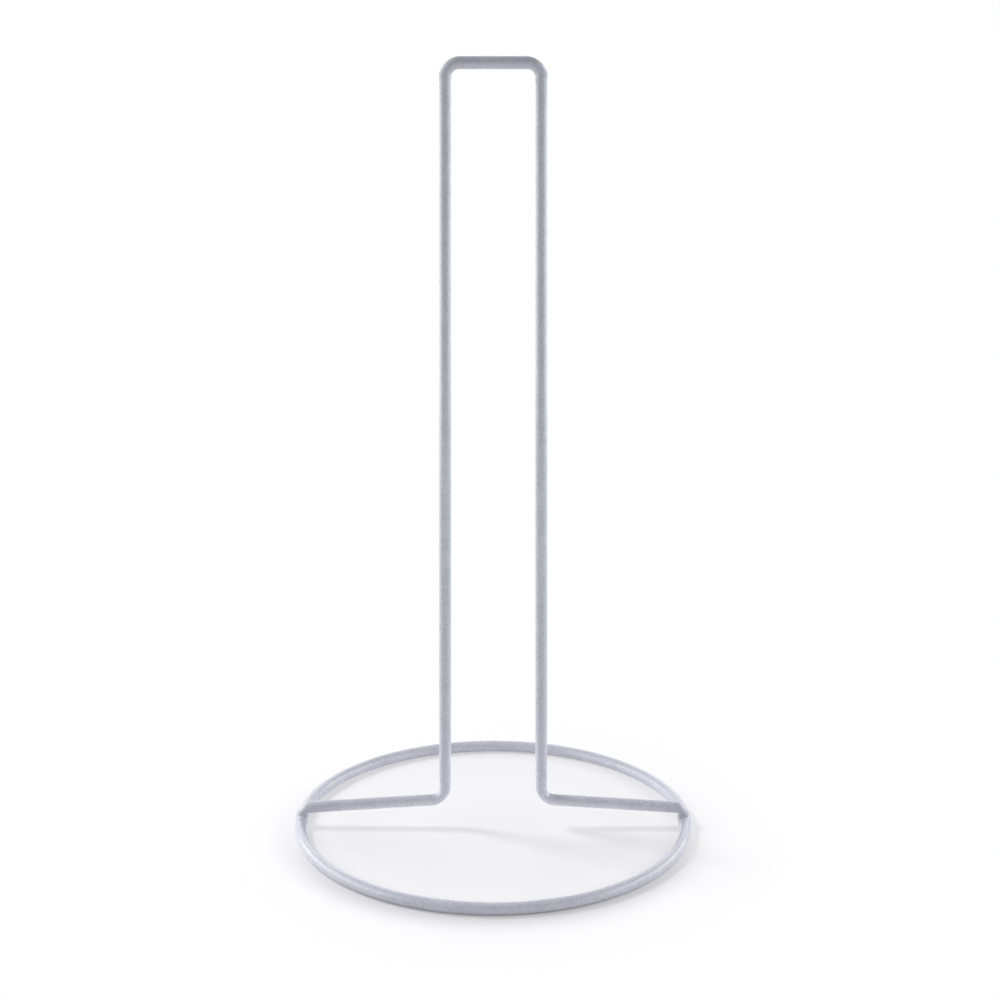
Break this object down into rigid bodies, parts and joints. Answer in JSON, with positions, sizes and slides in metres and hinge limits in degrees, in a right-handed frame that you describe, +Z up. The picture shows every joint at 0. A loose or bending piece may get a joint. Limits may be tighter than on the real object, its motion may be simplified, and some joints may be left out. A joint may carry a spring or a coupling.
{
  "type": "paper towel holder",
  "caption": "Free-standing wire holder for a paper towel roll: a ring base lies flat and a tall narrow upright loop takes the core of the roll.",
  "frame": {"origin": "on the table, at the centre of the ring base", "axes": "+Z up along the upright, X along the two arms, +Y to the rear, where the ring's butt weld is"},
  "size_m": [0.16, 0.16, 0.3052],
  "materials": {
    "powder_coat": "semi-gloss pale grey-white powder coat over steel wire, with a fine orange peel"
  },
  "bodies": {
    "root": {"base_ring": "powder_coat", "ring_butt_weld": "powder_coat", "upright_wire": "powder_coat", "weld_left": "powder_coat", "weld_right": "powder_coat"}
  },
  "joints": []
}
